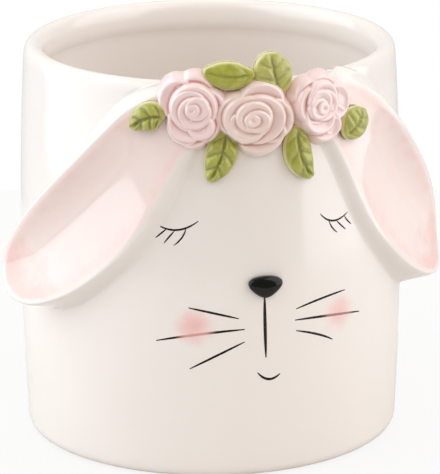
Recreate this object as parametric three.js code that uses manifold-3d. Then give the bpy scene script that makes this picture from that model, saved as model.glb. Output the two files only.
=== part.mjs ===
// Rabbit planter of glazed ceramic: a barrel-shaped pot that carries two drooping ears, a crown of
// three roses and six leaves, and a small domed nose. All of them are solid clay pieces, pressed on
// the wall with slip before the firing, so nothing moves.
// Millimetres, +Z up. The origin is the middle of the base, and the face looks along -Y.
import * as THREE from 'three';
import { mergeVertices } from 'three/addons/utils/BufferGeometryUtils.js';
import Module from 'manifold-3d';

const wasm = await Module();
wasm.setup();
const { clamp, smoothstep, lerp, degToRad } = THREE.MathUtils;

// Pot: a barrel with a flat base and a thick rounded rim. The rim's crest lies near its outside, and inside
// it slopes down to a lip.
const potHeight = 134.5;
const mouthRadius = 62.9;
const bellyRadius = 65;
const footRadius = 63.7;
const wallThickness = 6.6;
const rimThickness = 7;
const rimRounding = 4.5;
const rimCrest = 3.2;
const rimInside = 6.5;
const rimLipDepth = 4;
const footRounding = 4.2;
const floorThickness = 7;
const floorRounding = 10;
const potSides = 60;
const potCurveSteps = 4;

// Slip joint left between any two pieces, and how deep a cutting piece reaches below the wall
const slipGap = 0.3;
const cutDepth = 2;

// Ears: dished tongues that start under the crown and droop round the sides of the pot
const earRoot = new THREE.Vector2(24.7, potHeight - 5.3);
const earDroops = { left: degToRad(49.5), right: degToRad(51) };
const earLength = 95.5;
const earUpperRootReach = 5.5;
const earUpperReach = 14.2;
const earUpperSwell = 1.8;
const earLowerRootReach = 10.5;
const earLowerReach = 19.6;
const earRootHeight = 1.4;
const earTipHeight = 13.4;
const earLip = 3.4;
const earDish = 4.2;
const earFillet = 3;
const earSteps = 18;

// Roses: puffed petals wrapped round a bud, each lower than the one before, on a pad that is pressed on
// the wall. The drop is from the top of the pot to the heart of the rose. Each petal has its middle,
// right and up from the heart, its radius and its top, as shares of the rose's half sizes and height.
const roseHeight = 7.4;
const rosePadHeight = 2;
const rosePadSides = 28;
const petalRim = 1.5;
const petalRimDrop = 1.25;
const petalHollow = 0.1;
const petalTilt = 0.4;
const petalTwist = 0.55;
const roses = {
  rose_centre: {
    along: -4.4,
    drop: 10.8,
    width: 30.2,
    height: 27.4,
    petals: [
      [0.06, 0.03, 0.08, 0.985],
      [0.01, 0.04, 0.2, 0.99],
      [0.1, 0.08, 0.37, 0.965],
      [-0.01, -0.07, 0.39, 0.93],
      [-0.22, -0.26, 0.36, 0.85],
      [-0.12, 0.11, 0.51, 0.84],
      [0.14, 0, 0.6, 0.8],
      [-0.22, 0.08, 0.56, 0.69],
      [0.4, -0.08, 0.57, 0.66],
      [0.18, -0.38, 0.56, 0.63],
      [0.22, 0.36, 0.54, 0.69],
    ],
  },
  rose_left: {
    along: -23.2,
    drop: 9.1,
    width: 27,
    height: 28.8,
    petals: [
      [0.08, 0.09, 0.09, 0.985],
      [0.06, 0.085, 0.19, 0.99],
      [0.11, 0.18, 0.29, 0.97],
      [0.1, 0.01, 0.3, 0.95],
      [-0.03, 0.11, 0.4, 0.93],
      [0.19, -0.24, 0.33, 0.88],
      [0.02, 0.13, 0.55, 0.85],
      [-0.09, -0.13, 0.5, 0.8],
      [-0.35, 0.36, 0.5, 0.68],
      [-0.18, -0.26, 0.47, 0.67],
      [-0.02, -0.36, 0.46, 0.64],
      [0.22, -0.24, 0.46, 0.63],
      [0.3, 0.08, 0.56, 0.61],
      [0.06, 0.44, 0.5, 0.58],
    ],
  },
  rose_right: {
    along: 19.5,
    drop: 10.1,
    width: 25.4,
    height: 25.4,
    petals: [
      [-0.18, 0.13, 0.085, 0.985],
      [-0.12, 0.06, 0.23, 0.99],
      [-0.22, 0.05, 0.35, 0.96],
      [-0.14, 0.28, 0.32, 0.93],
      [0, 0.16, 0.42, 0.91],
      [-0.04, 0.29, 0.45, 0.87],
      [-0.13, -0.17, 0.47, 0.85],
      [-0.24, 0.14, 0.52, 0.79],
      [0.42, 0.12, 0.51, 0.67],
      [-0.2, -0.16, 0.48, 0.66],
      [0.1, -0.46, 0.49, 0.63],
      [-0.33, 0.34, 0.5, 0.62],
      [0.04, 0.42, 0.51, 0.6],
      [0.34, -0.34, 0.46, 0.59],
    ],
  },
};

// Leaves: the ends and the elbow of the midrib, each along the wall and below the top of the pot, how full
// the leaf is towards its tip, how gently its ends narrow, and how far its edge and its back lie off the wall
const leafThickness = 1.8;
const leafCrown = 1.3;
const leafRibDepth = 1;
const leafVeinDepth = 0.35;
const leafVeins = 3;
const leafSteps = 12;
const leaves = {
  leaf_left: {
    base: [-31.8, 10.4],
    elbow: [-36.6, 8.2],
    tip: [-42.6, 14.6],
    width: 9.8,
    fullness: 0.85,
    narrowing: 0.58,
    rise: 3.6,
    back: 0,
  },
  leaf_right: {
    base: [27.5, 20.6],
    elbow: [32.7, 17.2],
    tip: [34.9, 11.8],
    width: 11.4,
    fullness: 1.1,
    narrowing: 0.46,
    rise: 3.4,
    back: 0,
  },
  leaf_lower_left: {
    base: [-12.5, 14],
    elbow: [-13.2, 24],
    tip: [-18.4, 31.8],
    width: 10.6,
    fullness: 0.85,
    narrowing: 0.58,
    rise: 0.6,
    back: 0,
  },
  leaf_lower_right: {
    base: [11.3, 15],
    elbow: [9.6, 26],
    tip: [16.4, 33],
    width: 10,
    fullness: 0.85,
    narrowing: 0.58,
    rise: 0.6,
    back: 0,
  },
  leaf_top_left: {
    base: [-3.2, -3.6],
    elbow: [-11.5, -1.6],
    tip: [-19.8, -5],
    width: 9.3,
    fullness: 1,
    narrowing: 0.58,
    rise: 1.8,
    back: 0.8,
  },
  leaf_top_right: {
    base: [5.5, 4.5],
    elbow: [2.5, -2.5],
    tip: [2.4, -9.8],
    width: 13.6,
    fullness: 0.95,
    narrowing: 0.45,
    rise: 0.9,
    back: 0.3,
  },
};

// Nose: a rounded triangle, wide at the top
const noseUp = 66.5;
const noseWidth = 10.6;
const noseHeight = 7.4;
const noseDepth = 3.2;
const noseEdge = 1.2;
const noseTaper = 0.4;
const noseSides = 26;

const whiteGlaze = new THREE.MeshStandardMaterial({ color: 0xf6f1ec, roughness: 0.12, metalness: 0 });
const earGlaze = new THREE.MeshStandardMaterial({ color: 0xf6e3dd, roughness: 0.14, metalness: 0 });
const roseGlaze = new THREE.MeshStandardMaterial({ color: 0xf2d5cf, roughness: 0.16, metalness: 0 });
const leafGlaze = new THREE.MeshStandardMaterial({ color: 0x8f9140, roughness: 0.18, metalness: 0 });
const noseGlaze = new THREE.MeshStandardMaterial({ color: 0x0f0d0b, roughness: 0.1, metalness: 0 });

const bulgeRadius = 2 * bellyRadius - (footRadius + mouthRadius) / 2;
const wallTop = potHeight - rimRounding;

// Outer radius of the barrel wall at a height: foot, belly and mouth on one smooth curve
function wallRadius(up) {
  const rise = (up - footRounding) / (wallTop - footRounding);
  const fall = 1 - rise;
  return fall * fall * footRadius + 2 * rise * fall * bulgeRadius + rise * rise * mouthRadius;
}

// A place on the pot: along the wall from the middle of the face, up from the base, out from the wall
function onWall(along, up, out) {
  const turn = along / bellyRadius;
  const radius = wallRadius(up) + out;
  return new THREE.Vector3(radius * Math.sin(turn), -radius * Math.cos(turn), up);
}

function potGeometry() {
  const innerFoot = footRadius - wallThickness;
  const innerBulge = bulgeRadius - wallThickness;
  const innerMouth = mouthRadius - rimThickness;
  const lipTop = potHeight - rimInside;
  const lipBottom = lipTop - rimLipDepth;
  const underLip = wallRadius(lipBottom) - wallThickness;
  const rimTop = mouthRadius - rimCrest;
  const wallLean = (bulgeRadius - mouthRadius) / ((wallTop - footRounding) / 2);
  const floorCorner = floorThickness + floorRounding;
  const profile = new THREE.Path();
  profile.moveTo(0, 0);
  profile.lineTo(footRadius - footRounding, 0);
  profile.quadraticCurveTo(footRadius, 0, footRadius, footRounding);
  profile.quadraticCurveTo(bulgeRadius, (footRounding + wallTop) / 2, mouthRadius, wallTop);
  profile.quadraticCurveTo(mouthRadius - wallLean * rimRounding, potHeight, rimTop, potHeight);
  profile.quadraticCurveTo(innerMouth, potHeight, innerMouth, lipTop);
  profile.quadraticCurveTo(innerMouth, lipBottom + rimLipDepth / 2, underLip, lipBottom);
  profile.quadraticCurveTo(innerBulge, (floorCorner + lipBottom) / 2, innerFoot, floorCorner);
  profile.quadraticCurveTo(innerFoot, floorThickness, innerFoot - floorRounding, floorThickness);
  profile.lineTo(0, floorThickness);
  const geometry = new THREE.LatheGeometry(profile.getPoints(potCurveSteps), potSides);
  return geometry.rotateX(Math.PI / 2);
}

// Joins corners that coincide and drops the faces that have no area left
function welded(geometry) {
  geometry.deleteAttribute('normal');
  geometry.deleteAttribute('uv');
  const merged = mergeVertices(geometry);
  const index = merged.index.array;
  const kept = [];
  for (let at = 0; at < index.length; at += 3) {
    const [a, b, c] = index.slice(at, at + 3);
    if (a !== b && b !== c && c !== a) kept.push(a, b, c);
  }
  merged.setIndex(kept);
  return merged;
}

function solidOf(geometry) {
  const vertProperties = geometry.attributes.position.array;
  const triVerts = new Uint32Array(geometry.index.array);
  return new wasm.Manifold(new wasm.Mesh({ numProp: 3, vertProperties, triVerts }));
}

// A closed piece pressed on the wall. Its spokes run from a heart to an edge, and go round
// anticlockwise as seen from outside. The rings follow each other from the middle of the back, over the
// edge, to the middle of the face: each has a share of the way to the edge, a spread past it, and a height.
function pressedGeometry(spokes, rings) {
  const corners = [];
  for (const ring of rings) {
    for (const spoke of spokes) {
      const reach = spoke.edge.clone().sub(spoke.heart);
      const length = reach.length() * ring.share + (ring.spread ? ring.spread(spoke) : 0);
      const spot = reach.setLength(length).add(spoke.heart);
      corners.push(onWall(spot.x, spot.y, ring.height(spoke, ring.share)));
    }
  }
  const count = spokes.length;
  const index = [];
  for (let ring = 0; ring + 1 < rings.length; ring += 1) {
    for (let spoke = 0; spoke < count; spoke += 1) {
      const here = ring * count + spoke;
      const next = ring * count + ((spoke + 1) % count);
      index.push(here, next, next + count, here, next + count, here + count);
    }
  }
  const geometry = new THREE.BufferGeometry().setFromPoints(corners);
  geometry.setIndex(index);
  return welded(geometry);
}

// Rings of the flat back, which lies a slip joint or more off the wall, or below it on a cutting piece
function backRings(shares, grow, spread, off = 0) {
  const height = () => (grow > 0 ? -cutDepth : off + slipGap);
  return shares.map((share) => ({ share, height, spread: share === 1 ? spread : undefined }));
}

// Where along an ear its root and its belly end, and how bluntly its sides run out at the tip
const earRootPart = 0.22;
const earBellyPart = 0.58;
const earDishPart = 0.5;
const earUpperBluntness = 8;
const earLowerBluntness = 4.5;
// The upper lip rises early along the ear, and the lower one low at first and then mostly near the tip
const earUpperLipRise = 0.67;
const earUpperLipFlush = -0.05;
const earUpperLipFull = 0.3;
const earLowerLipRise = 3.5;
const earLowerLipStart = 0.12;
// The stretch of an ear's axis that its spokes start from, and where they meet the straight end at its root
const earHeartStart = 0.06;
const earHeartEnd = 0.78;
const earRootEnd = [0.4, -0.4];
// The stretch over which the dish grows shallower, how much, and how straight it rises to the tip
const earFadeStart = 0.55;
const earFadeEnd = 0.95;
const earFade = 0.45;
const earTipRise = 0.6;
// The rings of the soft rise from the wall to the lip, as parts of the way
const earRiseParts = [0, 0.28, 0.52, 0.76];
// The rings of an ear's back and of its dish, as shares of the way to its edge
const earBackShares = [0, 0.35, 0.7, 1];
const earDishShares = [0.8, 0.62, 0.42, 0.2, 0];

// An ear's section at a part of its length: how far its two sides reach from its axis and how high they
// stand, and how deep it is dished
function earSection(part) {
  const rootPart = clamp(part / earRootPart, 0, 1);
  const upperSide = lerp(earUpperReach, earUpperRootReach, (1 - rootPart) ** 2) + earUpperSwell * part;
  const lowerSide = lerp(earLowerRootReach, earLowerReach, smoothstep(part, 0, earBellyPart));
  const lowerRise = lerp(earLowerLipStart * rootPart, 1, part ** earLowerLipRise);
  const upperRise = part ** earUpperLipRise * smoothstep(part, earUpperLipFlush, earUpperLipFull);
  const fade = 1 - earFade * smoothstep(part, earFadeStart, earFadeEnd);
  return {
    upper: upperSide * Math.sqrt(1 - part ** earUpperBluntness),
    lower: lowerSide * Math.sqrt(1 - part ** earLowerBluntness),
    upperLip: lerp(earRootHeight, earTipHeight, upperRise),
    lowerLip: lerp(earRootHeight, earTipHeight, lowerRise),
    dish: earDish * smoothstep(part, 0, earDishPart) * fade,
  };
}

// A spoke of an ear at a part of its length, from its axis to its upper side, 1, or its lower side, -1
function earSpoke(side, part, sideways) {
  const droop = side < 0 ? earDroops.left : earDroops.right;
  const axis = new THREE.Vector2(Math.cos(droop), -Math.sin(droop));
  const across = new THREE.Vector2(Math.sin(droop), Math.cos(droop));
  const mirror = new THREE.Vector2(side, 1);
  const section = earSection(part);
  const reach = sideways > 0 ? section.upper : section.lower;
  const edge = earRoot.clone().addScaledVector(axis, part * earLength);
  edge.addScaledVector(across, sideways * reach);
  const heartPart = clamp(part, earHeartStart, earHeartEnd);
  const heart = earRoot.clone().addScaledVector(axis, heartPart * earLength);
  const { upperLip, lowerLip, dish } = earSection(heartPart);
  const tipward = edge.clone().sub(heart).normalize().dot(axis);
  return {
    edge: edge.multiply(mirror),
    heart: heart.multiply(mirror),
    lip: lerp(section.lowerLip, section.upperLip, (sideways + 1) / 2),
    floor: (upperLip + lowerLip) / 2 - dish,
    straightness: earTipRise * Math.max(0, tipward),
  };
}

function earGeometry(side, grow = 0) {
  const parts = [];
  for (let step = 0; step <= earSteps; step += 1) parts.push(Math.sin((step / earSteps) * (Math.PI / 2)));
  const lowerSide = parts.slice(0, -1).map((part) => earSpoke(side, part, -1));
  const upperSide = parts.map((part) => earSpoke(side, part, 1)).reverse();
  const rootEnd = earRootEnd.map((sideways) => earSpoke(side, 0, sideways));
  const spokes = [...lowerSide, ...upperSide, ...rootEnd];
  if (side < 0) spokes.reverse();

  const foot = 2 * slipGap + grow;
  const fillet = () => earFillet + grow;
  const crest = () => -earLip / 2;
  const inside = (spoke, share) => {
    const crestShare = 1 - earLip / 2 / spoke.edge.distanceTo(spoke.heart);
    const way = Math.min(1, share / crestShare);
    return lerp(spoke.floor, spoke.lip, lerp(way * way, way, spoke.straightness)) + grow;
  };
  const rise = earRiseParts.map((part) => ({
    share: 1,
    spread: () => lerp(earFillet, crest(), part) + grow,
    height: (spoke) => lerp(foot, spoke.lip + grow, smoothstep(part, 0, 1)),
  }));
  const rings = [
    ...backRings(earBackShares, grow, fillet),
    ...rise,
    { share: 1, spread: crest, height: (spoke) => spoke.lip + grow },
    ...earDishShares.map((share) => ({ share, height: inside })),
  ];
  return pressedGeometry(spokes, rings);
}

// The widest rim of a small petal, as a share of its size, how far its face may tip up past its edge, and how
// high its foot lies in the pad
const petalRimShare = 0.6;
const petalTipLimit = 0.3;
const petalFoot = 1;
// The sides that every petal has, and those that it gains with its radius
const petalLeastSides = 6;
const petalMoreSides = 12;

// A point of a rose, right and up from its heart as shares of the rose's half sizes
function roseSpot(rose, right, up) {
  const along = rose.along + (right * rose.width) / 2;
  return new THREE.Vector2(along, potHeight - rose.drop + (up * rose.height) / 2);
}

// One petal: a round puffed pad, raised along its rim and tipped and twisted against its neighbours
function petalGeometry(rose, petal, grow) {
  const [right, up, radius, top] = petal;
  const size = (radius * (rose.width + rose.height)) / 4;
  const rim = Math.min(petalRim, petalRimShare * size);
  const lean = Math.atan2(up, right);
  const sides = Math.round(petalLeastSides + petalMoreSides * radius);
  const heart = roseSpot(rose, right, up);
  const spokes = [];
  for (let side = 0; side < sides; side += 1) {
    const angle = lean + (side / sides) * 2 * Math.PI;
    const edge = roseSpot(rose, right + radius * Math.cos(angle), up + radius * Math.sin(angle));
    spokes.push({ heart, edge, outward: Math.cos(angle - lean), sideways: Math.sin(angle - lean) });
  }
  const spread = () => grow;
  const face = (spoke, share) => {
    const inset = (1 - share) * size;
    const hollow = petalHollow * Math.max(0, inset - rim) ** 2;
    const drop = petalRimDrop * (Math.max(0, rim - inset) / rim) ** 2;
    const tip = petalTilt * clamp(share * spoke.outward - 1, -2, petalTipLimit);
    const twist = petalTwist * share * spoke.sideways;
    const level = roseHeight * top - hollow - drop + radius * (tip + twist);
    return Math.max(level, rosePadHeight) + grow;
  };
  const crestShare = 1 - rim / size;
  const rings = [
    { share: 0, height: () => petalFoot },
    { share: 1, height: () => petalFoot, spread },
    { share: 1, height: face, spread },
    ...[(1 + crestShare) / 2, crestShare, crestShare / 2, 0].map((share) => ({ share, height: face })),
  ];
  return pressedGeometry(spokes, rings);
}

// How far the petals of a rose reach from its heart in a direction, as a share of its half sizes
function roseReach(rose, angle) {
  const reaches = rose.petals.map(([right, up, radius]) => {
    const ahead = right * Math.cos(angle) + up * Math.sin(angle);
    const aside = up * Math.cos(angle) - right * Math.sin(angle);
    return ahead + Math.sqrt(Math.max(0, radius * radius - aside * aside));
  });
  return Math.max(...reaches);
}

// The rings of a pad's back, as shares of the way to its edge
const rosePadShares = [0, 0.5, 1];

// The pad under the petals, which the slip holds on the wall
function padGeometry(rose, grow) {
  const spokes = [];
  for (let side = 0; side < rosePadSides; side += 1) {
    const angle = (side / rosePadSides) * 2 * Math.PI;
    const reach = roseReach(rose, angle);
    const edge = roseSpot(rose, reach * Math.cos(angle), reach * Math.sin(angle));
    spokes.push({ heart: roseSpot(rose, 0, 0), edge });
  }
  const spread = () => grow;
  const height = () => rosePadHeight + grow;
  const rings = [
    ...backRings(rosePadShares, grow, spread),
    { share: 1, spread, height },
    { share: 0, height },
  ];
  return pressedGeometry(spokes, rings);
}

function roseSolid(rose, grow = 0) {
  const petals = rose.petals.map((petal) => solidOf(petalGeometry(rose, petal, grow)));
  return petals.reduce((whole, petal) => whole.add(petal), solidOf(padGeometry(rose, grow)));
}

// The stretch of the midrib that a leaf's spokes start from
const leafHeartStart = 0.12;
const leafHeartEnd = 0.88;
// How far the groove of the midrib and the slant of the veins reach, and the rings of the face
const leafRibShare = 0.18;
const leafVeinSlant = 0.22;
const leafFaceShares = [0.82, 0.6, 0.38, 0.18, 0];

function leafGeometry(leaf, grow = 0) {
  const spots = [leaf.base, leaf.elbow, leaf.tip];
  const ends = spots.map(([along, drop]) => new THREE.Vector2(along, potHeight - drop));
  const rib = new THREE.QuadraticBezierCurve(...ends);
  const leafSpoke = (part, side) => {
    const tangent = rib.getTangent(part);
    const across = new THREE.Vector2(-tangent.y, tangent.x);
    const half = (leaf.width / 2) * Math.sin(Math.PI * part ** leaf.fullness) ** leaf.narrowing;
    const edge = rib.getPoint(part).addScaledVector(across, side * half);
    return { edge, heart: rib.getPoint(clamp(part, leafHeartStart, leafHeartEnd)), part };
  };
  const parts = [];
  for (let step = 0; step <= leafSteps; step += 1) {
    const turn = (step / leafSteps) * Math.PI;
    parts.push(clamp((1 - Math.cos(turn)) / 2, 0, 1));
  }
  const right = parts.slice(0, -1).map((part) => leafSpoke(part, -1));
  const left = parts.slice(1).reverse().map((part) => leafSpoke(part, 1));

  const spread = () => grow;
  const edgeHeight = leaf.rise + leafThickness + grow;
  const face = (spoke, share) => {
    const crown = leafCrown * (1 - share * share);
    const groove = leafRibDepth * Math.max(0, 1 - share / leafRibShare);
    const wave = Math.cos(2 * Math.PI * leafVeins * (spoke.part - leafVeinSlant * share));
    const vein = leafVeinDepth * wave * Math.sin(Math.PI * share);
    return edgeHeight + crown - groove - vein;
  };
  const rings = [
    ...backRings([0, 1], grow, spread, leaf.back),
    { share: 1, spread, height: () => edgeHeight },
    ...leafFaceShares.map((share) => ({ share, height: face })),
  ];
  return pressedGeometry([...right, ...left], rings);
}

// How flat the dome of the nose is in the middle, and the rings of its face
const noseFlatness = 2.4;
const noseFaceShares = [1, 0.93, 0.8, 0.6, 0.35, 0];

function noseGeometry() {
  const heart = new THREE.Vector2(0, noseUp);
  const spokes = [];
  for (let side = 0; side < noseSides; side += 1) {
    const angle = (side / noseSides) * 2 * Math.PI;
    const across = (noseWidth / 2) * Math.cos(angle) * (1 + noseTaper * Math.sin(angle));
    const edge = new THREE.Vector2(across, (noseHeight / 2) * Math.sin(angle)).add(heart);
    spokes.push({ heart, edge });
  }
  const dome = (spoke, share) => lerp(noseEdge, noseDepth, Math.sqrt(1 - share ** noseFlatness));
  const rings = [
    ...backRings([0, 1], 0),
    ...noseFaceShares.map((share) => ({ share, height: dome })),
  ];
  return pressedGeometry(spokes, rings);
}

function geometryOf(solid) {
  const { vertProperties, triVerts } = solid.getMesh();
  const geometry = new THREE.BufferGeometry();
  geometry.setAttribute('position', new THREE.BufferAttribute(vertProperties, 3));
  geometry.setIndex(new THREE.BufferAttribute(triVerts, 1));
  return geometry;
}

// Cuts away from a piece what its neighbours take up
function cutBy(solid, neighbours) {
  return geometryOf(neighbours.reduce((left, neighbour) => left.subtract(neighbour), solid));
}

const planter = new THREE.Group();

function addPiece(name, geometry, material) {
  geometry.computeVertexNormals();
  const piece = new THREE.Mesh(geometry, material);
  piece.name = name;
  planter.add(piece);
}

// What the pieces that lie over or beside them leave free: each piece grown by the slip joint
const grownEar = { left: solidOf(earGeometry(-1, slipGap)), right: solidOf(earGeometry(1, slipGap)) };
const grownRose = {};
for (const [name, rose] of Object.entries(roses)) grownRose[name] = roseSolid(rose, slipGap);
const grownTopLeaf = solidOf(leafGeometry(leaves.leaf_top_left, slipGap));

addPiece('pot_shell', welded(potGeometry()), whiteGlaze);
addPiece('left_ear', earGeometry(-1), earGlaze);
addPiece('right_ear', earGeometry(1), earGlaze);

// The centre rose lies over the other two, and all three lie over the roots of the ears
const roseCuts = {
  rose_centre: [grownEar.left, grownEar.right],
  rose_left: [grownEar.left, grownRose.rose_centre],
  rose_right: [grownEar.right, grownRose.rose_centre],
};
for (const [name, neighbours] of Object.entries(roseCuts)) {
  addPiece(name, cutBy(roseSolid(roses[name]), neighbours), roseGlaze);
}

// The leaves end against the roses and lie over the ears
const leafCuts = {
  leaf_left: [grownEar.left, grownRose.rose_left],
  leaf_right: [grownEar.right, grownRose.rose_right],
  leaf_lower_left: [grownEar.left, grownRose.rose_left, grownRose.rose_centre],
  leaf_lower_right: [grownEar.right, grownRose.rose_right, grownRose.rose_centre],
  leaf_top_left: [grownRose.rose_left, grownRose.rose_centre],
  leaf_top_right: [grownRose.rose_right, grownRose.rose_centre, grownTopLeaf],
};
for (const [name, neighbours] of Object.entries(leafCuts)) {
  addPiece(name, cutBy(solidOf(leafGeometry(leaves[name])), neighbours), leafGlaze);
}

addPiece('nose', noseGeometry(), noseGlaze);

export default planter;
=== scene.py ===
# Sleeping rabbit flower pot of glazed earthenware, in the order in which it is made: the cast pot,
# the ears, roses, leaves and nose pressed on with slip, and the face painted on before the glaze.
import math
import bpy
import numpy as np
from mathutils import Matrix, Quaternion, Vector


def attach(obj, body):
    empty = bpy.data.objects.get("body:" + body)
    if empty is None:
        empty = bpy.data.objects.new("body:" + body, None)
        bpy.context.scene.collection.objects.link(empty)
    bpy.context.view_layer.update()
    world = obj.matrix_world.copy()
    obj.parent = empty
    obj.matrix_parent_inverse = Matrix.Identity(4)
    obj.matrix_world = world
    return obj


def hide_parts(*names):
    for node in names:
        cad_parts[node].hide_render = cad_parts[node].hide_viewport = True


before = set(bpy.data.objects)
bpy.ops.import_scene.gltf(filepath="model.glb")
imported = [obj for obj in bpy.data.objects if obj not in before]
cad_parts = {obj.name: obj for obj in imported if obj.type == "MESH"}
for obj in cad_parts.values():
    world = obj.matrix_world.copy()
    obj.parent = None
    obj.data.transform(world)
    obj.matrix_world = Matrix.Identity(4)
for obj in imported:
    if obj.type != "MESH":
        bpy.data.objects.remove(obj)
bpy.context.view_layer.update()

# Pot
# The hollow barrel of cast white earthenware, with a flat base, a thick rolled rim and a shallow
# lip inside. It is dipped in a clear, faintly cream gloss, and the base it stands on is wiped bare.
pot_height = 134.5
mouth_radius = 62.9
belly_radius = 65.0
foot_radius = 63.7
wall_thickness = 6.6
rim_thickness = 7.0
rim_rounding = 4.5
rim_crest = 3.2
rim_inside = 6.5
rim_lip_depth = 4.0
foot_rounding = 4.2
floor_thickness = 7.0
floor_rounding = 10.0
bulge_radius = 2 * belly_radius - (foot_radius + mouth_radius) / 2
wall_top = pot_height - rim_rounding
wall_lean = (bulge_radius - mouth_radius) / ((wall_top - foot_rounding) / 2)
millimetre = 0.001


def tint(red, green, blue):
    """A colour as it shows on paper, from 0 to 255, as the light that a glaze gives back."""
    shares = np.array([red, green, blue]) / 255
    light = np.where(shares <= 0.04045, shares / 12.92, ((shares + 0.055) / 1.055) ** 2.4)
    return (*light.tolist(), 1.0)


def wall_radius(up):
    """Outer radius of the barrel at a height: foot, belly and mouth on one smooth curve."""
    rise = (up - foot_rounding) / (wall_top - foot_rounding)
    fall = 1 - rise
    return fall**2 * foot_radius + 2 * rise * fall * bulge_radius + rise**2 * mouth_radius


def on_wall(along, up, out):
    """Places on the pot: along the wall from the middle of the face, up, and out from the wall."""
    turn = along / belly_radius
    radius = wall_radius(up) + out
    places = np.stack([radius * np.sin(turn), -radius * np.cos(turn), up + 0 * radius], -1)
    return places * millimetre


def bend(start, pull, end, steps):
    """Points on a curve that leaves one end towards the pull and comes from it into the other."""
    share = np.linspace(0, 1, steps, endpoint=False)[:, None]
    start, pull, end = map(np.array, (start, pull, end))
    return (1 - share) ** 2 * start + 2 * share * (1 - share) * pull + share**2 * end


def once_round(steps):
    """The angles of even steps once round."""
    return np.arange(steps) / steps * 2 * math.pi


def grid_faces(rows, columns, closed, flipped=False):
    """Faces of a net of corners, whose rows may close into rings, facing one way or the other."""
    here = np.arange(rows * columns).reshape(rows, columns)
    beside = np.roll(here, -1, axis=1)
    if not closed:
        here, beside = here[:, :-1], here[:, 1:]
    faces = np.stack([here[:-1], beside[:-1], beside[1:], here[1:]], -1).reshape(-1, 4)
    return (faces[:, ::-1] if flipped else faces).tolist()


def make_piece(name, corners, faces, material):
    """A smooth piece of clay with its glaze, from corners in metres."""
    mesh = bpy.data.meshes.new(name)
    mesh.from_pydata(np.asarray(corners).reshape(-1, 3).tolist(), [], faces)
    mesh.validate()
    mesh.shade_smooth()
    mesh.materials.append(material)
    piece = bpy.data.objects.new(name, mesh)
    bpy.context.scene.collection.objects.link(piece)
    return piece


def add_node(tree, kind, inputs=(), **settings):
    """A shader node with its settings, and with values or other nodes' outputs on its inputs."""
    made = tree.nodes.new(kind)
    for key, value in settings.items():
        setattr(made, key, value)
    for key, value in dict(inputs).items():
        if isinstance(value, bpy.types.NodeSocket):
            tree.links.new(value, made.inputs[key])
        else:
            made.inputs[key].default_value = value
    return made


def combine(tree, operation, first, second):
    """Two values added or multiplied."""
    return add_node(tree, "ShaderNodeMath", {0: first, 1: second}, operation=operation).outputs[0]


def mix_tints(tree, amount, under, over):
    """One colour laid over another by an amount."""
    mixed = add_node(tree, "ShaderNodeMix", {0: amount, 6: under, 7: over}, data_type="RGBA")
    return mixed.outputs[2]


def between(tree, value, low, high, low_result=0.0, high_result=1.0):
    """A value from one range carried over smoothly into another."""
    inputs = {"Value": value, "From Min": low, "From Max": high}
    inputs |= {"To Min": low_result, "To Max": high_result}
    carried = add_node(tree, "ShaderNodeMapRange", inputs, interpolation_type="SMOOTHSTEP")
    return carried.outputs["Result"]


def mottle(tree, place, size, detail=2.0):
    """Soft patches of a size in millimetres, from 0 to 1."""
    inputs = {"Vector": place, "Scale": 1 / (size * millimetre), "Detail": detail}
    return add_node(tree, "ShaderNodeTexNoise", inputs).outputs["Fac"]


glaze_index = 1.72
gloss_patch = 9.0
gloss_spread = (0.8, 1.25)


def start_glaze(name, roughness, ripple, ripple_depth):
    """A glaze with the gloss of fired glass, which lies a little uneven on the clay under it."""
    material = bpy.data.materials.new(name)
    material.use_nodes = True
    tree = material.node_tree
    shader = tree.nodes["Principled BSDF"]
    place = add_node(tree, "ShaderNodeTexCoord").outputs["Object"]
    waves = mottle(tree, place, ripple)
    height = {"Height": waves, "Distance": ripple_depth * millimetre, "Strength": 1.0}
    normal = add_node(tree, "ShaderNodeBump", height).outputs["Normal"]
    tree.links.new(normal, shader.inputs["Normal"])
    smoothest, roughest = (roughness * share for share in gloss_spread)
    uneven = between(tree, mottle(tree, place, gloss_patch), 0.3, 0.7, smoothest, roughest)
    tree.links.new(uneven, shader.inputs["Roughness"])
    shader.inputs["IOR"].default_value = glaze_index
    return material, tree, shader, place


def cream_glaze(tree, place):
    """The clear glaze on white clay, a little deeper in wide patches."""
    pooled = mottle(tree, place, size=30.0, detail=4.0)
    return mix_tints(tree, pooled, tint(242, 235, 229), tint(239, 231, 224))


bare_clay = tint(226, 214, 198)
bare_heights = (0.3, 1.2)
bare_roughness = 0.6
blush = tint(242, 178, 173)
blush_radius = 8.2
blush_patch = 4.0
blush_raggedness = 1.4
# Each cheek's middle, along the wall and up, and the strength of its blush
cheeks = ((-23.4, 53.4, 0.85), (28.4, 53.4, 0.6))
pot_material, tree, shader, place = start_glaze(
    "white_glaze", roughness=0.12, ripple=14.0, ripple_depth=0.05
)
colour = cream_glaze(tree, place)
for along, up, strength in cheeks:
    middle = on_wall(np.array(along), np.array(up), 0.0)
    inputs = {0: place, 1: middle.tolist()}
    reach = add_node(tree, "ShaderNodeVectorMath", inputs, operation="DISTANCE").outputs["Value"]
    stray = blush_raggedness * millimetre
    ragged = between(tree, mottle(tree, place, blush_patch), 0.0, 1.0, -stray, stray)
    reach = combine(tree, "ADD", reach, ragged)
    amount = between(tree, reach, 0.0, blush_radius * millimetre, strength, 0.0)
    colour = mix_tints(tree, amount, colour, blush)
height = add_node(tree, "ShaderNodeSeparateXYZ", {0: place}).outputs["Z"]
bare_low, bare_high = (level * millimetre for level in bare_heights)
bare = between(tree, height, bare_low, bare_high, 1.0, 0.0)
tree.links.new(mix_tints(tree, bare, colour, bare_clay), shader.inputs["Base Color"])
gloss = shader.inputs["Roughness"].links[0].from_socket
wiped = combine(tree, "MULTIPLY", bare, bare_roughness)
tree.links.new(combine(tree, "ADD", gloss, wiped), shader.inputs["Roughness"])

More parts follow.
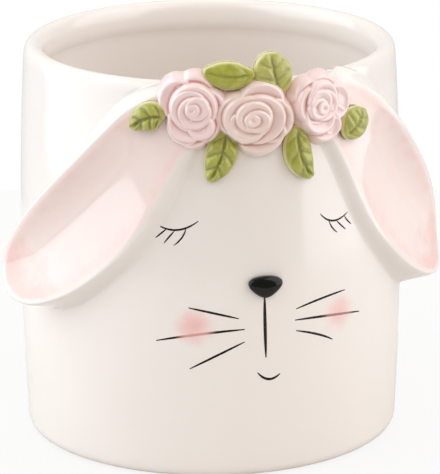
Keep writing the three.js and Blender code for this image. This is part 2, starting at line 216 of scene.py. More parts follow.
pot_turns = 192
hub_radius = 0.01
base_halfway = 30
floor_halfway = 20
inner_foot = foot_radius - wall_thickness
inner_mouth = mouth_radius - rim_thickness
lip_top = pot_height - rim_inside
lip_bottom = lip_top - rim_lip_depth
under_lip = wall_radius(lip_bottom) - wall_thickness
rim_middle = mouth_radius - rim_crest
floor_corner = floor_thickness + floor_rounding
wall_halfway = (foot_rounding + wall_top) / 2
inside_halfway = (floor_corner + lip_bottom) / 2
# The outline as a chain of bends, from the middle of the base round the rim to the middle of the
# floor: where each one pulls to, where it ends and in how many steps
outline_bends = (
    ((base_halfway, 0), (foot_radius - foot_rounding, 0), 8),
    ((foot_radius, 0), (foot_radius, foot_rounding), 8),
    ((bulge_radius, wall_halfway), (mouth_radius, wall_top), 60),
    ((mouth_radius - wall_lean * rim_rounding, pot_height), (rim_middle, pot_height), 12),
    ((inner_mouth, pot_height), (inner_mouth, lip_top), 14),
    ((inner_mouth, lip_bottom + rim_lip_depth / 2), (under_lip, lip_bottom), 8),
    ((bulge_radius - wall_thickness, inside_halfway), (inner_foot, floor_corner), 40),
    ((inner_foot, floor_thickness), (inner_foot - floor_rounding, floor_thickness), 10),
    ((floor_halfway, floor_thickness), (hub_radius, floor_thickness), 8),
)
profile = []
start = (hub_radius, 0)
for pull, end, steps in outline_bends:
    profile.extend(bend(start, pull, end, steps))
    start = end
profile = np.array([*profile, start])
turns = once_round(pot_turns)
corners = np.stack([
    profile[:, :1] * np.sin(turns),
    profile[:, :1] * -np.cos(turns),
    profile[:, 1:] + 0 * turns,
], -1)
faces = grid_faces(len(profile), pot_turns, closed=True)
pot = make_piece("pot", corners * millimetre, faces, pot_material)
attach(pot, "root")
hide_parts("pot_shell")

# Ears
# Two long tongues of clay that droop round the sides of the pot, pressed on the wall with a fillet
# of slip. Each is dished, with a thick rounded lip that stays white, and the dish is washed pink,
# paler in the middle as a painted highlight and deeper in a band round its slope as painted shade.
ear_root_along = 24.7
ear_root_drop = 5.3
ear_length = 95.5
ear_upper_root_reach = 5.5
ear_upper_reach = 14.2
ear_upper_swell = 1.8
ear_upper_bluntness = 8
ear_lower_root_reach = 10.5
ear_lower_reach = 19.6
ear_lower_bluntness = 4.5
ear_root_height = 1.4
ear_tip_height = 13.4
ear_upper_lip_curve = 0.67
ear_lower_lip_root = 0.12
ear_lower_lip_curve = 3.5
ear_lip = 3.4
ear_lip_inside = 2.6
ear_dish = 4.2
ear_dish_fade = 0.45
ear_tip_rise = 0.6
ear_fillet = 3.0
ear_skirt = 0.6
ear_sink = 0.5
# Parts of the length at which the root ends, the lower side is full, and the heart of the dish lies
ear_root_end = 0.22
ear_lower_full = 0.58
ear_heart_start = 0.06
ear_heart_end = 0.78
# Which side each ear is on, and how steeply it droops in degrees
ears = {"left_ear": (-1, 49.5), "right_ear": (1, 51.0)}
ear_steps = 90
ear_root_steps = 9
ear_outer_rings = 26
ear_inner_rings = 34


def ease(value, low, high):
    """Goes smoothly from 0 at the low value to 1 at the high one."""
    share = np.clip((value - low) / (high - low), 0, 1)
    return share * share * (3 - 2 * share)


def lerp(first, last, share):
    """Goes evenly from the first value to the last."""
    return first + (last - first) * share


def ear_section(part):
    """Reach and lip height of an ear's upper and lower side along its length, and its dish."""
    root_part = np.clip(part / ear_root_end, 0, 1)
    upper = lerp(ear_upper_reach, ear_upper_root_reach, (1 - root_part) ** 2)
    upper = (upper + ear_upper_swell * part) * np.sqrt(1 - part**ear_upper_bluntness)
    lower = lerp(ear_lower_root_reach, ear_lower_reach, ease(part, 0, ear_lower_full))
    lower = lower * np.sqrt(1 - part**ear_lower_bluntness)
    upper_rise = part**ear_upper_lip_curve * ease(part, -0.05, 0.3)
    lower_rise = lerp(ear_lower_lip_root * root_part, 1, part**ear_lower_lip_curve)
    upper_lip = lerp(ear_root_height, ear_tip_height, upper_rise)
    lower_lip = lerp(ear_root_height, ear_tip_height, lower_rise)
    dish = ear_dish * ease(part, 0, 0.5) * (1 - ear_dish_fade * ease(part, 0.55, 0.95))
    return upper, lower, upper_lip, lower_lip, dish


def paint_amount(piece, name, amounts):
    """Keeps how much of a colour each corner of a piece has."""
    layer = piece.data.attributes.new(name, "FLOAT", "POINT")
    layer.data.foreach_set("value", np.asarray(amounts, dtype=np.float32).ravel())


def painted(tree, name):
    """The amount of a colour that is kept on a piece."""
    return add_node(tree, "ShaderNodeAttribute", attribute_name=name).outputs["Fac"]


ear_pink = tint(248, 224, 217)
ear_pink_thin = tint(248, 230, 225)
ear_flush = tint(242, 205, 196)
wash_patchiness = 0.12
# How much pink stays in the middle of the dish: it is paler there, a painted highlight
wash_middle_painted_highlight = 0.75
wash_side = 0.95
wash_tip = 1.5
# A band of deeper pink round the dish's slope, painted shade: how strong it is, and its place and
# width as shares of the way in
painted_shade_band_strength = 0.22
painted_shade_band_place = 0.22
painted_shade_band_width = 0.17
ear_material, tree, shader, place = start_glaze(
    "ear_glaze", roughness=0.1, ripple=12.0, ripple_depth=0.05
)
washed = mix_tints(tree, mottle(tree, place, size=12.0, detail=3.0), ear_pink, ear_pink_thin)
patches = mottle(tree, place, size=5.0, detail=3.0)
patchy = between(tree, patches, 0.25, 0.75, -wash_patchiness, wash_patchiness)
# The amount holds the pink glaze together with the painted highlight and painted shade in the dish
pink_wash_and_painted_light = combine(tree, "ADD", painted(tree, "pink_wash_and_painted_light"), patchy)
colour = mix_tints(tree, between(tree, pink_wash_and_painted_light, 0.12, 0.95), cream_glaze(tree, place), washed)
colour = mix_tints(tree, between(tree, pink_wash_and_painted_light, 0.9, 1.6), colour, ear_flush)
tree.links.new(colour, shader.inputs["Base Color"])

ear_root = np.array([ear_root_along, pot_height - ear_root_drop])
for name, (side, droop) in ears.items():
    slope = math.radians(droop)
    ear_axis = np.array([math.cos(slope), -math.sin(slope)])
    ear_across = np.array([math.sin(slope), math.cos(slope)])
    half = np.sin(np.linspace(0, math.pi / 2, ear_steps + 1))
    part = np.concatenate([half[:-1], half[::-1], np.zeros(ear_root_steps)])
    across_root = np.linspace(1, -1, ear_root_steps + 2)[1:-1]
    sideways = np.concatenate([-np.ones(ear_steps), np.ones(ear_steps + 1), across_root])
    upper, lower, upper_lip, lower_lip, _ = ear_section(part)
    reach = np.where(sideways > 0, upper, lower) * sideways
    edge = ear_root + part[:, None] * ear_length * ear_axis + reach[:, None] * ear_across
    heart_part = np.clip(part, ear_heart_start, ear_heart_end)
    heart = ear_root + heart_part[:, None] * ear_length * ear_axis
    _, _, heart_upper, heart_lower, dish = ear_section(heart_part)
    floor = (heart_upper + heart_lower) / 2 - dish
    lip = lerp(lower_lip, upper_lip, (sideways + 1) / 2)
    length = np.linalg.norm(edge - heart, axis=1)
    ray = (edge - heart) / length[:, None]
    tipward = np.maximum(0, ray @ ear_axis)

    # From under the wall in one soft rise over the fillet to the lip, and down into the dish
    sunk = -ear_sink + 0 * lip
    rings = [(-length, sunk, 0.0), (ear_fillet + ear_skirt, sunk, 0.0)]
    for way in np.linspace(0, 1, ear_outer_rings):
        spread = lerp(ear_fillet, -ear_lip / 2, way) + 0 * lip
        rings.append((spread, lip * ease(way, 0, 1), 0.0))
    rounding = np.clip(ear_lip_inside / length, 0.05, 0.45)
    bowl_end = 1 - rounding
    for way in np.linspace(1, 0, ear_inner_rings)[1:]:
        turned = (way - bowl_end) / rounding
        rounded = bowl_end**2 + 2 * bowl_end * rounding * (turned - turned**2 / 2)
        bowl = np.where(way <= bowl_end, way**2, rounded) / bowl_end
        spread = lerp(-length, -ear_lip / 2, way)
        rise = lerp(floor, lip, lerp(bowl, way, ear_tip_rise * tipward))
        # Paler pink in the middle of the dish is a painted highlight, the deeper band round its
        # slope painted shade
        pink = ease(1 - way, -0.03, 0.13) * lerp(wash_middle_painted_highlight, 1.0, way**2)
        pink = pink * lerp(wash_side, wash_tip, tipward)
        pink = pink + painted_shade_band_strength * math.exp(-(((1 - way - painted_shade_band_place) / painted_shade_band_width) ** 2))
        rings.append((spread, rise, pink))

    corners = []
    pink_and_painted_light = []
    for spread, rise, pink in rings:
        spot = (heart + ray * (length + spread)[:, None]) * np.array([side, 1])
        corners.append(on_wall(spot[:, 0], spot[:, 1], rise))
        pink_and_painted_light.append(pink + 0 * lip)
    faces = grid_faces(len(rings), len(part), closed=True, flipped=side < 0)
    ear = make_piece(name, corners, faces, ear_material)
    paint_amount(ear, "pink_wash_and_painted_light", pink_and_painted_light)
    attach(ear, "root")
    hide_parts(name)

# Roses
# Three moulded roses that lie over each other and over the roots of the ears. Thin-lipped petals,
# with a trough behind each lip, are wrapped round a bud. The grooves are deep pink, partly where
# the pink glaze pools and partly as painted shade.
rose_height = 7.4
petal_rim = 1.1
petal_rim_share = 0.6
petal_rim_drop = 1.25
petal_hollow = 0.75
petal_tilt = 0.4
petal_twist = 0.55
rose_edge = 1.2
rose_lowest = 0.72
rose_edge_fall = 0.5
rose_rounds = 110
rose_turns = 360
rose_farthest = 1.25
rose_search_steps = 500
rose_outline_rounds = 6
# Below the edge: the share of the outline and the height of each ring, down to a closed back
rose_skirt = ((1.005, 0.4), (1.0, 0.0), (0.97, -0.4), (0.0, -0.4))
rose_skirt_pink = 0.1
# Pooled glaze and painted shade in the grooves: its strength, the width and depth of groove it
# fills, and its loss at the edge
pool_and_shade_strength = 0.9
pool_and_shade_breadth = 36
pool_and_shade_depth = 0.36
pool_and_shade_edge_loss = 0.8
# Each rose's heart, along the wall and up, and its width and height
rose_spots = {
    "rose_centre": (-4.4, pot_height - 10.8, 30.2, 27.4),
    "rose_left": (-23.2, pot_height - 9.1, 27.0, 28.8),
    "rose_right": (19.5, pot_height - 10.1, 25.4, 25.4),
}
# Each petal's middle, right and up from the heart, its radius and its top, as shares of the rose's
# half sizes and of its height
rose_petals = {
    "rose_centre": (
        (0.05, 0.03, 0.09, 0.985),
        (-0.04, 0.0, 0.19, 0.99),
        (0.06, -0.04, 0.30, 0.965),
        (0.01, 0.06, 0.40, 0.93),
        (-0.15, -0.15, 0.42, 0.89),
        (-0.10, 0.04, 0.54, 0.85),
        (0.10, -0.02, 0.60, 0.80),
        (-0.24, 0.08, 0.56, 0.69),
        (0.40, -0.08, 0.57, 0.66),
        (0.18, -0.38, 0.56, 0.63),
        (0.22, 0.36, 0.54, 0.69),
    ),
    "rose_left": (
        (0.09, 0.09, 0.09, 0.985),
        (0.02, 0.13, 0.19, 0.99),
        (0.12, 0.17, 0.30, 0.97),
        (0.06, 0.06, 0.40, 0.94),
        (-0.04, 0.14, 0.47, 0.91),
        (0.19, -0.24, 0.33, 0.88),
        (0.03, 0.15, 0.56, 0.85),
        (-0.09, -0.13, 0.50, 0.80),
        (-0.35, 0.36, 0.50, 0.68),
        (-0.18, -0.26, 0.47, 0.67),
        (-0.02, -0.36, 0.46, 0.64),
        (0.22, -0.24, 0.46, 0.63),
        (0.30, 0.08, 0.56, 0.61),
        (0.06, 0.44, 0.50, 0.58),
    ),
    "rose_right": (
        (-0.17, 0.12, 0.085, 0.985),
        (-0.10, 0.06, 0.20, 0.99),
        (-0.20, 0.06, 0.31, 0.96),
        (-0.14, 0.22, 0.36, 0.93),
        (-0.03, 0.12, 0.44, 0.90),
        (-0.04, 0.31, 0.45, 0.87),
        (-0.15, -0.17, 0.47, 0.85),
        (-0.24, 0.14, 0.54, 0.79),
        (0.42, 0.12, 0.51, 0.67),
        (-0.20, -0.16, 0.48, 0.66),
        (0.10, -0.46, 0.49, 0.63),
        (-0.33, 0.34, 0.50, 0.62),
        (0.04, 0.42, 0.51, 0.60),
        (0.34, -0.34, 0.46, 0.59),
    ),
}


def petal_tops(name, right, up):
    """Height of the highest petal at places given in shares of the rose's half sizes."""
    _, _, width, height = rose_spots[name]
    highest = np.full(np.broadcast(right, up).shape, -rose_height)
    for middle_right, middle_up, radius, top in rose_petals[name]:
        across = (right - middle_right) / radius
        above = (up - middle_up) / radius
        size = radius * (width + height) / 4
        inset = (1 - np.hypot(across, above)) * size
        rim = min(petal_rim, petal_rim_share * size)
        lean = math.atan2(middle_up, middle_right)
        outward = across * math.cos(lean) + above * math.sin(lean)
        sideways = above * math.cos(lean) - across * math.sin(lean)
        trough = 1 - np.exp(-(np.maximum(0, inset - rim) ** 2) / 2)
        rolled = (np.maximum(0, rim - inset) / rim) ** 2
        level = rose_height * top - petal_hollow * trough - petal_rim_drop * rolled
        slant = petal_tilt * np.clip(outward - 1, -2, 0.3) + petal_twist * sideways
        highest = np.maximum(highest, level + radius * slant)
    return highest


def soften(heights, rounds):
    """Rounds edges off, as a thick glaze does, across and around."""
    for _ in range(rounds):
        heights = (np.roll(heights, 1, 1) + 2 * heights + np.roll(heights, -1, 1)) / 4
        padded = np.concatenate([heights[:1], heights, heights[-1:]])
        heights = (padded[:-2] + 2 * heights + padded[2:]) / 4
    return heights


rose_glaze_index = 1.95
rose_glazes = {}
# The deep pink of each glaze is partly pooled glaze and partly painted shade in the grooves
for name, pale, flushed, deep_pool_and_shade in (
    ("rose_glaze_pink", tint(248, 226, 222), tint(246, 217, 213), tint(206, 130, 124)),
    ("rose_glaze_cream", tint(242, 222, 213), tint(240, 213, 204), tint(198, 136, 122)),
):
    rose_glazes[name], tree, shader, place = start_glaze(
        name, roughness=0.05, ripple=8.0, ripple_depth=0.03
    )
    shader.inputs["IOR"].default_value = rose_glaze_index
    petal = mix_tints(tree, mottle(tree, place, size=9.0, detail=3.0), pale, flushed)
    colour = mix_tints(tree, painted(tree, "groove_pool_and_shade"), petal, deep_pool_and_shade)
    tree.links.new(colour, shader.inputs["Base Color"])

for name, (along, up, width, height) in rose_spots.items():
    turn = once_round(rose_turns)
    reach = np.linspace(0, rose_farthest, rose_search_steps)[:, None]
    covered = petal_tops(name, reach * np.cos(turn), reach * np.sin(turn)) > rose_edge
    outline = np.where(covered, reach, 0).max(0)
    for _ in range(rose_outline_rounds):
        outline = (np.roll(outline, 1) + 2 * outline + np.roll(outline, -1)) / 4
    share = np.linspace(0, 1, rose_rounds)[:, None]
    right = share * outline * np.cos(turn)
    above = share * outline * np.sin(turn)
    rise = soften(np.maximum(petal_tops(name, right, above), rose_lowest), 1)
    rise = rise * (1 - rose_edge_fall * ease(share, 0.78, 1.0))
    rise[0] = rise[0].mean()
    # Deeper pink where the surface lies below its softened self, in grooves and troughs: pooled
    # glaze and painted shade
    pooled = pool_and_shade_strength * np.clip((soften(rise, pool_and_shade_breadth) - rise) / pool_and_shade_depth, 0, 1)
    pooled = pooled * (1 - pool_and_shade_edge_loss * ease(share, 0.84, 0.96))
    rings = [(right, above, rise, pooled)]
    for shrink, level in rose_skirt:
        flat = 0 * rise[-1:]
        edge = (right[-1:] * shrink, above[-1:] * shrink)
        rings.append((*edge, flat + level, flat + rose_skirt_pink))
    right, above, rise, pooled = (np.concatenate(part) for part in zip(*rings))
    corners = on_wall(along + right * width / 2, up + above * height / 2, rise)
    faces = grid_faces(len(rise), rose_turns, closed=True, flipped=True)
    glaze = "rose_glaze_cream" if name == "rose_centre" else "rose_glaze_pink"
    rose = make_piece(name, corners, faces, rose_glazes[glaze])
    paint_amount(rose, "groove_pool_and_shade", pooled)
    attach(rose, "root")
    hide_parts(name)

# Leaves
# Six small blunt leaves tucked in round the roses, two of them on the ears and two that stand above
# the rim. The veins are pressed in with a tool, and the green glaze is thin and pale on the edge.
# Some leaves are also paler all over, a painted sheen.
leaf_thickness = 1.8
leaf_crown = 1.3
leaf_quilt = 0.32
leaf_rounding = 0.9
leaf_end_rounding = 14
leaf_edge_share = 0.1
leaf_sink = 0.6
leaf_rib_width = 0.5
leaf_rib_depth = 0.7
leaf_rib_darkness = 0.8
leaf_vein_depth = 0.35
leaf_vein_darkness = 0.5
leaf_vein_count = 3.6
leaf_vein_start = 0.1
leaf_vein_slant = 0.22
leaf_vein_sharpness = 0.45
leaf_pale_width = 1.1
leaf_lengthwise = 80
leaf_crosswise = 61
# Each leaf's base, elbow and tip, along the wall and below the top of the pot
leaf_ribs = {
    "leaf_left": ((-31.8, 10.4), (-36.6, 8.2), (-42.6, 14.6)),
    "leaf_right": ((27.5, 20.6), (32.7, 17.2), (34.9, 11.8)),
    "leaf_lower_left": ((-12.5, 14.0), (-13.2, 24.0), (-18.4, 31.8)),
    "leaf_lower_right": ((11.3, 15.0), (9.6, 26.0), (16.4, 33.0)),
    "leaf_top_left": ((-3.2, -3.6), (-11.5, -1.6), (-19.8, -5.0)),
    "leaf_top_right": ((5.5, 4.5), (2.5, -2.5), (2.4, -9.8)),
}
# Each leaf's width, how full it is towards the tip, how gently its ends narrow, how far its edge
# and its back lie off the wall, how deep its veins are, and how much painted sheen makes it paler
leaf_forms = {
    "leaf_left": (9.8, 0.85, 0.58, 3.6, 0.0, 1.0, 0.08),
    "leaf_right": (11.4, 1.1, 0.46, 3.4, 0.0, 0.55, 0.12),
    "leaf_lower_left": (10.6, 0.85, 0.58, 0.6, 0.0, 0.85, 0.0),
    "leaf_lower_right": (10.0, 0.85, 0.58, 0.6, 0.0, 0.75, 0.05),
    "leaf_top_left": (9.3, 1.0, 0.58, 1.8, 0.8, 0.25, 0.0),
    "leaf_top_right": (13.6, 0.95, 0.45, 0.9, 0.3, 0.7, 0.25),
}


def beside(middle, run, reach):
    """Places beside a line on the wall, square to the way that it runs, by how far they reach."""
    run = run / np.linalg.norm(run, axis=1, keepdims=True)
    square = np.stack([-run[:, 1], run[:, 0]], -1)
    return middle[:, None, :] + reach[..., None] * square[:, None, :]


leaf_green = tint(128, 134, 22)
leaf_green_thin = tint(198, 196, 88)
leaf_dark = tint(98, 102, 28)
# The pale green of the thin glaze on the edge, also laid on as a painted sheen
leaf_pale_edge_and_sheen = tint(222, 214, 156)
leaf_material, tree, shader, place = start_glaze(
    "leaf_glaze", roughness=0.07, ripple=2.6, ripple_depth=0.4
)
green = mix_tints(tree, mottle(tree, place, size=3.0, detail=4.0), leaf_green, leaf_green_thin)
veined = mix_tints(tree, painted(tree, "vein"), green, leaf_dark)
colour = mix_tints(tree, painted(tree, "edge"), veined, leaf_pale_edge_and_sheen)
tree.links.new(colour, shader.inputs["Base Color"])

for name, (width, fullness, bluntness, rise, back, veining, painted_sheen) in leaf_forms.items():
    base, elbow, tip = (np.array([along, pot_height - drop]) for along, drop in leaf_ribs[name])
    part = (0.5 - 0.5 * np.cos(np.linspace(0, math.pi, leaf_lengthwise)))[:, None]
    side = np.sin(np.linspace(-math.pi / 2, math.pi / 2, leaf_crosswise))[None, :]
    way = np.abs(side)
    rib = (1 - part) ** 2 * base + 2 * part * (1 - part) * elbow + part**2 * tip
    run = 2 * (1 - part) * (elbow - base) + 2 * part * (tip - elbow)
    half = width / 2 * np.sin(math.pi * part**fullness) ** bluntness
    spot = beside(rib, run, side * half)

    # The pressed midrib, the veins that slant away from it, and the swell between the veins
    rib_groove = np.exp(-((side * half / leaf_rib_width) ** 2))
    rib_groove = rib_groove * ease(part, 0.02, 0.2) * ease(1 - part, 0.04, 0.2)
    fan = part - leaf_vein_slant * way
    wave = np.cos(2 * math.pi * leaf_vein_count * (fan - leaf_vein_start))
    vein_groove = np.clip((wave - leaf_vein_sharpness) / (1 - leaf_vein_sharpness), 0, 1)
    vein_groove = vein_groove * ease(way, 0.02, 0.12) * ease(1 - way, 0.12, 0.35)
    vein_groove = veining * vein_groove * ease(part, 0.08, 0.2) * ease(1 - part, 0.1, 0.25)
    quilt = leaf_quilt * veining * (1 - wave) * ease(way, 0, 0.3) * ease(1 - way, 0, 0.4)

    inset = np.minimum((1 - way) * half, np.minimum(part, 1 - part) * leaf_end_rounding)
    roundness = np.sqrt(np.clip(1 - (1 - np.clip(inset / leaf_rounding, 0, 1)) ** 2, 0, 1))
    crown = leaf_crown * (1 - way**2) * ease(1 - part, 0, 0.3)
    top = leaf_thickness + (crown + quilt) * ease(part, 0, 0.4)
    top = top - leaf_rib_depth * rib_groove - leaf_vein_depth * vein_groove
    out = rise + lerp(leaf_edge_share, 1.0, roundness) * top
    dark = leaf_rib_darkness * veining * rib_groove + leaf_vein_darkness * vein_groove
    dark = np.clip(dark, 0, 1)
    # Pale on the thin glaze of the edge, and paler all over by the leaf's painted sheen
    pale = np.maximum(ease(1 - inset / leaf_pale_width, 0.35, 0.95), painted_sheen * (1 - dark))

    over = on_wall(spot[..., 0], spot[..., 1], out)
    under = on_wall(spot[..., 0], spot[..., 1], 0 * out - leaf_sink + back)
    count = leaf_lengthwise * leaf_crosswise
    faces = grid_faces(leaf_lengthwise, leaf_crosswise, closed=False)
    faces += [[count + corner for corner in face[::-1]] for face in faces]
    index = np.arange(count).reshape(leaf_lengthwise, leaf_crosswise)
    rim = [index[0, :-1], index[:-1, -1], index[-1, :0:-1], index[:0:-1, 0]]
    border = np.concatenate(rim).tolist()
    for first, second in zip(border, border[1:] + border[:1]):
        faces.append([first, second, count + second, count + first])
    leaf = make_piece(name, np.concatenate([over, under]), faces, leaf_material)
    paint_amount(leaf, "vein", np.concatenate([dark, 0 * dark]))
    # The edge amount holds both the pale edge and the painted sheen
    paint_amount(leaf, "edge", np.concatenate([pale, 0 * pale + 1]))
    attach(leaf, "root")
    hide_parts(name)

# Nose
# A small domed triangle of clay with round corners, wide at the top. It is pressed on the wall in
# the middle of the face and painted black under the clear glaze.
nose_up = 66.5
nose_width = 10.6
nose_height = 7.4
nose_depth = 3.2
nose_edge = 1.2
nose_taper = 0.4
nose_dome_curve = 2.4
nose_foot = 0.3
nose_sink = 0.4
nose_sink_share = 0.9
nose_turns = 96
nose_rounds = 28

nose_black = tint(3, 3, 2)
nose_black_thin = tint(9, 8, 7)
nose_shine = 0.2
nose_material, tree, shader, place = start_glaze(
    "nose_glaze", roughness=0.06, ripple=5.0, ripple_depth=0.02
)
colour = mix_tints(tree, mottle(tree, place, size=2.0, detail=3.0), nose_black, nose_black_thin)
tree.links.new(colour, shader.inputs["Base Color"])
shader.inputs["Specular IOR Level"].default_value = nose_shine

turn = once_round(nose_turns)
across = nose_width / 2 * np.cos(turn) * (1 + nose_taper * np.sin(turn))
above = nose_height / 2 * np.sin(turn)
share = np.sin(np.linspace(0, math.pi / 2, nose_rounds))[:, None]
dome = lerp(nose_edge, nose_depth, np.sqrt(1 - share**nose_dome_curve)) + 0 * turn
right = np.concatenate([share * across, [across], [across * nose_sink_share]])
up = np.concatenate([share * above, [above], [above * nose_sink_share]])
out = np.concatenate([dome, [0 * turn + nose_foot], [0 * turn - nose_sink]])
faces = grid_faces(len(out), nose_turns, closed=True, flipped=True)
nose = make_piece("nose", on_wall(right, nose_up + up, out), faces, nose_material)
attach(nose, "root")
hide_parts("nose")

# Painted face
# The closed eyes with their lashes, the whiskers, the line under the nose and the smile, drawn with
# a fine brush in dark brown under the glaze. Strokes thin out at their ends, and the blush fades a
# whisker that crosses it.
line_height = 0.09
line_sink = 0.02
line_breadth = 1.26
line_bluntness = 0.35
line_ends = (0.03, 0.97)
line_steps = 40
line_across = 7
fade_reach = 8.0
fade_softness = 4.0
# Each stroke's start, pull and end, along the wall and up, its width and how far the blush fades it
strokes = {
    "left_eyelid": ([(-35.6, 87.7), (-28.6, 83.6), (-21.4, 89.5)], 0.62, 0.0),
    "left_lash_outer": ([(-32.3, 86.2), (-34.2, 84.6), (-36.0, 83.0)], 0.5, 0.0),
    "left_lash_middle": ([(-29.6, 85.7), (-31.4, 83.7), (-33.2, 81.3)], 0.5, 0.0),
    "left_lash_inner": ([(-25.8, 86.6), (-26.6, 83.2), (-30.0, 80.7)], 0.5, 0.0),
    "right_eyelid": ([(20.4, 88.3), (25.4, 82.4), (32.7, 87.0)], 0.62, 0.0),
    "right_lash_inner": ([(24.0, 85.3), (24.9, 82.5), (27.6, 80.7)], 0.5, 0.0),
    "right_lash_middle": ([(27.3, 84.7), (29.0, 82.9), (31.4, 81.0)], 0.5, 0.0),
    "right_lash_outer": ([(30.8, 85.7), (31.7, 84.0), (34.0, 82.3)], 0.5, 0.0),
    "muzzle": ([(-0.1, 63.6), (0.0, 52.0), (0.4, 41.3)], 1.0, 0.0),
    "smile": ([(-2.5, 36.8), (1.4, 32.0), (5.5, 35.9)], 0.8, 0.0),
    "left_whisker_upper": ([(-8.7, 55.9), (-17.0, 58.2), (-25.6, 59.9)], 0.7, 0.0),
    "left_whisker_middle": ([(-6.8, 52.1), (-21.5, 51.6), (-36.8, 47.8)], 0.8, 1.0),
    "left_whisker_lower": ([(-6.8, 47.8), (-16.0, 43.6), (-25.4, 38.5)], 0.7, 0.0),
    "right_whisker_upper": ([(11.0, 57.3), (21.0, 60.0), (31.4, 60.3)], 0.7, 0.0),
    "right_whisker_middle": ([(10.6, 53.5), (24.0, 53.4), (38.8, 51.0)], 0.8, 0.6),
    "right_whisker_lower": ([(11.0, 49.8), (20.0, 47.6), (25.8, 44.0)], 0.7, 0.0),
}

line_dark = tint(20, 15, 13)
line_dark_thin = tint(38, 29, 25)
line_faded = tint(214, 160, 152)
line_shine = 0.15
line_material, tree, shader, place = start_glaze(
    "face_line", roughness=0.2, ripple=5.0, ripple_depth=0.01
)
brown = mix_tints(tree, mottle(tree, place, size=1.5, detail=3.0), line_dark, line_dark_thin)
colour = mix_tints(tree, painted(tree, "faded"), brown, line_faded)
tree.links.new(colour, shader.inputs["Base Color"])
shader.inputs["Specular IOR Level"].default_value = line_shine

for name, ((start, pull, end), width, fading) in strokes.items():
    middle = bend(start, pull, end, line_steps)
    part = np.clip(np.linspace(0, 1, line_steps), *line_ends)[:, None]
    breadth = line_breadth * width / 2 * np.sin(math.pi * part) ** line_bluntness
    side = np.linspace(-1, 1, line_across)
    spot = beside(middle, np.gradient(middle, axis=0), breadth * side)
    out = line_height * (1 - side**2) - line_sink + 0 * breadth
    corners = on_wall(spot[..., 0], spot[..., 1], out)
    faces = grid_faces(line_steps, line_across, closed=False)
    line = make_piece(name, corners, faces, line_material)
    cheek = np.array((cheeks[0] if start[0] < 0 else cheeks[1])[:2])
    near = ease(fade_reach - np.linalg.norm(middle - cheek, axis=1), 0.0, fade_softness)
    paint_amount(line, "faded", np.repeat(fading * near, line_across))
    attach(line, "root")

# Stage
# A round pale table in a small photo studio, with a large cool softbox at each side, a small warm
# one in front and one behind, and a room that is brighter behind the pot. The paper looks white.
table_radius = 0.3
table_turns = 96
table_drop = 0.0004
table_grey = tint(214, 211, 208)
table_roughness = 0.8
table_glow = 0.04
table_paper = 0.85
white = (1.0, 1.0, 1.0, 1.0)


def show_paper(tree, kind, share, under, output):
    """Shows white paper to the camera by a share, and leaves the light as it is."""
    paper = add_node(tree, kind, {"Color": white, "Strength": 1.0})
    seen = add_node(tree, "ShaderNodeLightPath").outputs["Is Camera Ray"]
    amount = combine(tree, "MULTIPLY", seen, share)
    inputs = {0: amount, 1: under.outputs[0], 2: paper.outputs[0]}
    both = add_node(tree, "ShaderNodeMixShader", inputs)
    tree.links.new(both.outputs[0], tree.nodes[output].inputs["Surface"])


table_material = bpy.data.materials.new("table")
table_material.use_nodes = True
tree = table_material.node_tree
shader = tree.nodes["Principled BSDF"]
shader.inputs["Base Color"].default_value = table_grey
shader.inputs["Roughness"].default_value = table_roughness
shader.inputs["Emission Color"].default_value = white
shader.inputs["Emission Strength"].default_value = table_glow
show_paper(tree, "ShaderNodeEmission", table_paper, shader, "Material Output")
turn = once_round(table_turns)
corners = [table_radius * np.cos(turn), table_radius * np.sin(turn), 0 * turn - table_drop]
table = make_piece("table", np.stack(corners, -1), [list(range(table_turns))], table_material)

scene = bpy.context.scene
scene.view_settings.view_transform = "Standard"
backdrop_way = (0.27, 0.96, 0.0)
room_strengths = (0.3, 0.64)
world = bpy.data.worlds.new("studio")
world.use_nodes = True
scene.world = world
tree = world.node_tree
room = tree.nodes["Background"]
room.inputs["Color"].default_value = white
inputs = {0: add_node(tree, "ShaderNodeTexCoord").outputs["Generated"], 1: backdrop_way}
behind = add_node(tree, "ShaderNodeVectorMath", inputs, operation="DOT_PRODUCT").outputs["Value"]
tree.links.new(between(tree, behind, -1.0, 0.9, *room_strengths), room.inputs["Strength"])
show_paper(tree, "ShaderNodeBackground", 1.0, room, "World Output")


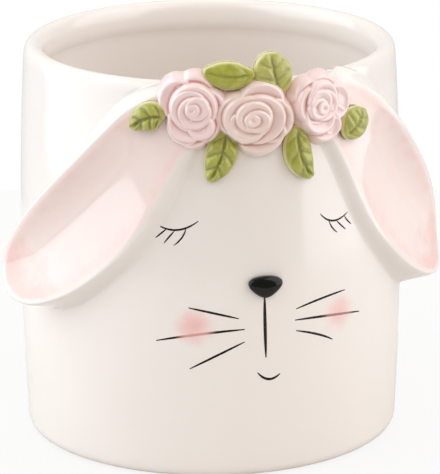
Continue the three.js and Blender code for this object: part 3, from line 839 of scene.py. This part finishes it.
def direction(azimuth, elevation):
    """The way from the pot to a lamp or the camera, in degrees round from the face and up."""
    turn, lift = math.radians(azimuth), math.radians(elevation)
    level = math.cos(lift)
    return Vector((math.sin(turn) * level, -math.cos(turn) * level, math.sin(lift)))


lamp_target = Vector((0, 0, 0.07))
# Each softbox's direction round from the face and up, distance, width, height, power and colour,
# and whether the glaze mirrors it
softboxes = {
    "left_softbox": (-99, 26, 1.1, 1.7, 1.8, 16.6, (0.86, 0.93, 1.0), True),
    "right_softbox": (65, 26, 1.1, 1.3, 2.0, 11.6, (0.94, 0.96, 1.0), True),
    "front_softbox": (-10, 34, 1.4, 0.9, 0.7, 4.4, (1.0, 0.84, 0.7), False),
    "back_softbox": (165, 45, 1.2, 0.9, 0.7, 2.4, (1.0, 0.84, 0.6), False),
}
for name, (azimuth, elevation, distance, *form) in softboxes.items():
    lamp = bpy.data.lights.new(name, "AREA")
    lamp.shape = "RECTANGLE"
    lamp.size, lamp.size_y, lamp.energy, lamp.color, mirrored = form
    holder = bpy.data.objects.new(name, lamp)
    away = direction(azimuth, elevation)
    holder.location = lamp_target + away * distance
    holder.rotation_euler = away.to_track_quat("Z", "Y").to_euler()
    holder.visible_glossy = mirrored
    scene.collection.objects.link(holder)

eye_azimuth = -15.8
eye_elevation = 16.742
eye_roll = math.radians(-0.345)
eye_distance = 1.17
eye_right = 0.00319
eye_down = 0.0027
focal_length = 258.8
sensor_width = 36
pot_middle = Vector((0, 0, pot_height / 2 * millimetre))
away = direction(eye_azimuth, eye_elevation)
rightwards = direction(eye_azimuth + 90, 0)
upwards = away.cross(rightwards)
lens = bpy.data.cameras.new("camera")
lens.lens = focal_length
lens.sensor_width = sensor_width
camera = bpy.data.objects.new("camera", lens)
camera.location = pot_middle + away * eye_distance + rightwards * eye_right - upwards * eye_down
tilt = away.to_track_quat("Z", "Y") @ Quaternion((0, 0, 1), eye_roll)
camera.rotation_euler = tilt.to_euler()
scene.collection.objects.link(camera)
scene.camera = camera
